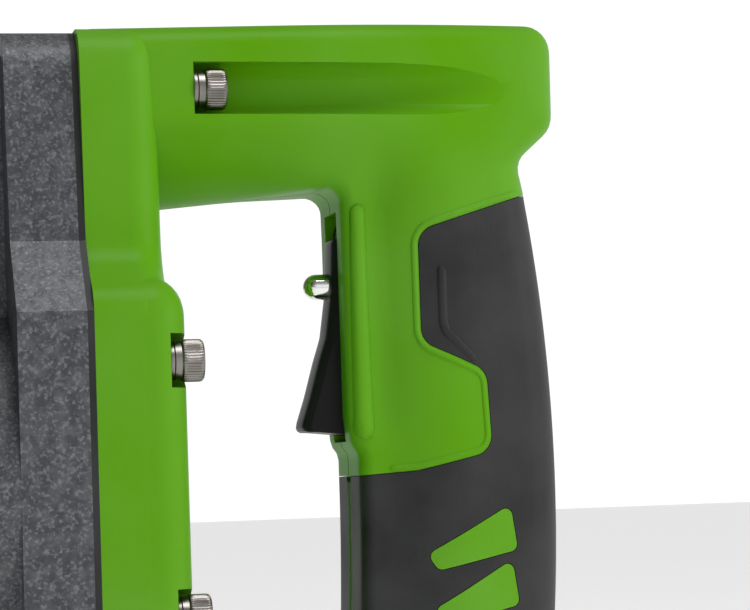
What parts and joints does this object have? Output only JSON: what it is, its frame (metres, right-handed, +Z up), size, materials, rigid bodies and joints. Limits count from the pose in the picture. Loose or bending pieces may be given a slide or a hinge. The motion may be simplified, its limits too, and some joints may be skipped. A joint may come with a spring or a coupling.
{
  "type": "electric staple gun",
  "caption": "Heavy-duty inline electric staple gun with D-handle, bottom-loading magazine, contact foot and cast drive housing.",
  "frame": {"origin": "centre of the nose face, where the staple comes out, on the drive axis", "axes": "+X back along the drive axis to the handle, +Z up towards the upper beam of the D-handle, the tool's left side faces -Y"},
  "size_m": [0.3083, 0.083, 0.192],
  "materials": {
    "green_housing": "moulded, fine satin texture",
    "black_rubber": "soft-touch overmould",
    "black_plastic": "smooth moulded",
    "cast_grey": "hammertone paint on a casting",
    "screw_steel": "burnished",
    "bright_chrome": "polished",
    "tool_steel": "ground",
    "spring_steel": "drawn wire",
    "copper_wire": "enamelled winding",
    "bronze": "sintered bush",
    "gasket_rubber": "sheet",
    "board_green": "circuit board",
    "bobbin_plastic": "natural nylon",
    "magazine_paint": "black oxide",
    "staple_steel": "galvanised wire"
  },
  "bodies": {
    "tool": {"main_housing": "cast_grey", "rear_gasket": "gasket_rubber", "handle_shell_left": "green_housing", "handle_shell_right": "green_housing", "grip_rubber_left": "black_rubber", "grip_rubber_right": "black_rubber", "handle_screws": "screw_steel", "flat_washers": "screw_steel", "spring_washers": "screw_steel", "handle_bolts": "screw_steel", "cable_gland": "black_rubber", "trigger_pin": "tool_steel", "trigger_spring": "spring_steel", "switch_body": "black_plastic", "solenoid_frame": "tool_steel", "solenoid_plate": "tool_steel", "coil_bobbin": "bobbin_plastic", "coil_winding": "copper_wire", "return_spring": "spring_steel", "front_bumper": "gasket_rubber", "rear_bumper": "gasket_rubber", "guide_bush": "bronze", "control_board": "board_green", "nose_block": "magazine_paint", "nose_cover": "magazine_paint", "nose_screws": "screw_steel", "safety_foot_spring": "spring_steel", "depth_stud": "tool_steel", "magazine_channel": "magazine_paint", "magazine_feet": "black_rubber", "latch_pin": "tool_steel", "magazine_brace": "cast_grey", "brace_screws": "screw_steel", "brace_rivets": "screw_steel"},
    "trigger": {"trigger": "black_plastic"},
    "lock_button": {"lock_button": "bright_chrome", "lock_button_spring": "spring_steel"},
    "switch_plunger": {"switch_plunger": "bobbin_plastic"},
    "driver": {"plunger": "tool_steel", "driver_blade": "tool_steel", "blade_pin": "tool_steel"},
    "safety_foot": {"safety_foot": "tool_steel"},
    "depth_wheel": {"depth_wheel": "black_plastic"},
    "drawer": {"magazine_rail": "tool_steel", "drawer_cap": "black_plastic", "staple_strip": "staple_steel", "pusher_spring": "spring_steel"},
    "pusher": {"pusher": "black_plastic"},
    "magazine_latch": {"magazine_latch": "tool_steel"}
  },
  "joints": [
    {"name": "trigger_pull", "type": "hinge", "parent": "tool", "child": "trigger", "pos_m": [0.252, 0, 0.0535], "axis": [0, -1, 0], "range_deg": [0, 12], "stiffness_Nm_per_rad": 0.6, "springref_deg": -28.65, "deforming": ["trigger_spring"]},
    {"name": "lock_button_press", "type": "slide", "parent": "trigger", "child": "lock_button", "axis": [1, 0, 0], "range_m": [0, 0.003], "stiffness_N_per_m": 500, "springref_m": -0.003, "deforming": ["lock_button_spring"]},
    {"name": "switch_press", "type": "slide", "parent": "tool", "child": "switch_plunger", "axis": [1, 0, 0], "range_m": [0, 0.0063]},
    {"name": "driver_stroke", "type": "slide", "parent": "tool", "child": "driver", "axis": [-1, 0, 0], "range_m": [0, 0.03], "stiffness_N_per_m": 400, "springref_m": -0.02, "deforming": ["return_spring"]},
    {"name": "foot_press", "type": "slide", "parent": "tool", "child": "safety_foot", "axis": [1, 0, 0], "range_m": [0, 0.0055], "stiffness_N_per_m": 500, "springref_m": -0.004, "deforming": ["safety_foot_spring"]},
    {"name": "depth_wheel_turn", "type": "hinge", "parent": "tool", "child": "depth_wheel", "pos_m": [0.0515, 0, 0.031], "axis": [1, 0, 0], "continuous": true},
    {"name": "drawer_pull", "type": "slide", "parent": "tool", "child": "drawer", "axis": [0, 0, -1], "range_m": [0, 0.072]},
    {"name": "pusher_travel", "type": "slide", "parent": "drawer", "child": "pusher", "axis": [0, 0, -1], "range_m": [0, 0.022], "stiffness_N_per_m": 150, "springref_m": -0.02, "deforming": ["pusher_spring"]},
    {"name": "latch_release", "type": "hinge", "parent": "tool", "child": "magazine_latch", "pos_m": [0.037, 0, -0.0765], "axis": [0, -1, 0], "range_deg": [0, 25]}
  ],
  "couplings": [
    {"joint": "switch_press", "follows": "trigger_pull", "m_per_rad": 0.03}
  ]
}
